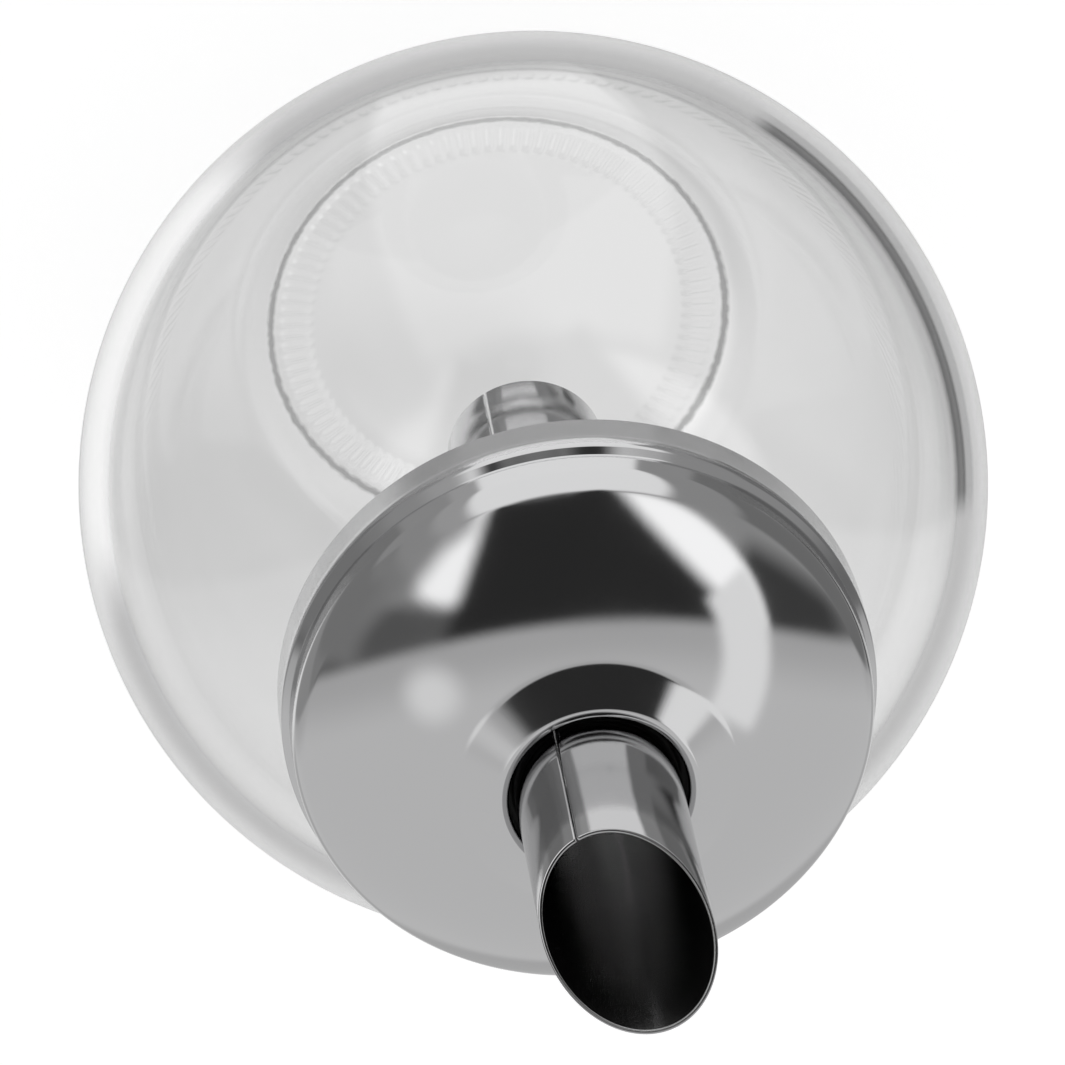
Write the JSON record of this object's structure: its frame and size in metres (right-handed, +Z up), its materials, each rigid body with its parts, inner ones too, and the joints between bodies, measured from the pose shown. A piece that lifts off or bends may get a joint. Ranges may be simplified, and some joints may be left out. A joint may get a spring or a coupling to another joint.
{
  "type": "sugar dispenser",
  "caption": "Ball-shaped glass sugar dispenser with a screw-on polished steel cap and a long slant-cut pour tube.",
  "frame": {"origin": "middle of the base plane that the jar stands on", "axes": "+Z up along the jar, cap and tube; the slanted mouth of the pour tube opens towards -Y and its tip is on the +Y side"},
  "size_m": [0.092, 0.092, 0.1282],
  "materials": {
    "glass": "clear, smooth, fire-polished",
    "steel": "mirror-polished stainless steel",
    "insert_plastic": "moulded, satin",
    "rubber": "soft, matt"
  },
  "bodies": {
    "jar": {"glass_jar": "glass"},
    "seal": {"jar_seal": "rubber"},
    "cap": {"cap_shell": "steel", "cap_insert": "insert_plastic", "tube_sleeve": "rubber", "pour_tube": "steel"}
  },
  "joints": [
    {"name": "cap_lift", "type": "slide", "parent": "jar", "child": "seal", "axis": [0, 0, 1], "range_m": [0, 0.006]},
    {"name": "cap_turn", "type": "hinge", "parent": "seal", "child": "cap", "pos_m": [0, 0, 0.0848], "axis": [0, 0, 1], "range_deg": [0, 540]}
  ],
  "couplings": [
    {"joint": "cap_lift", "follows": "cap_turn", "m_per_rad": 0.00063662}
  ]
}
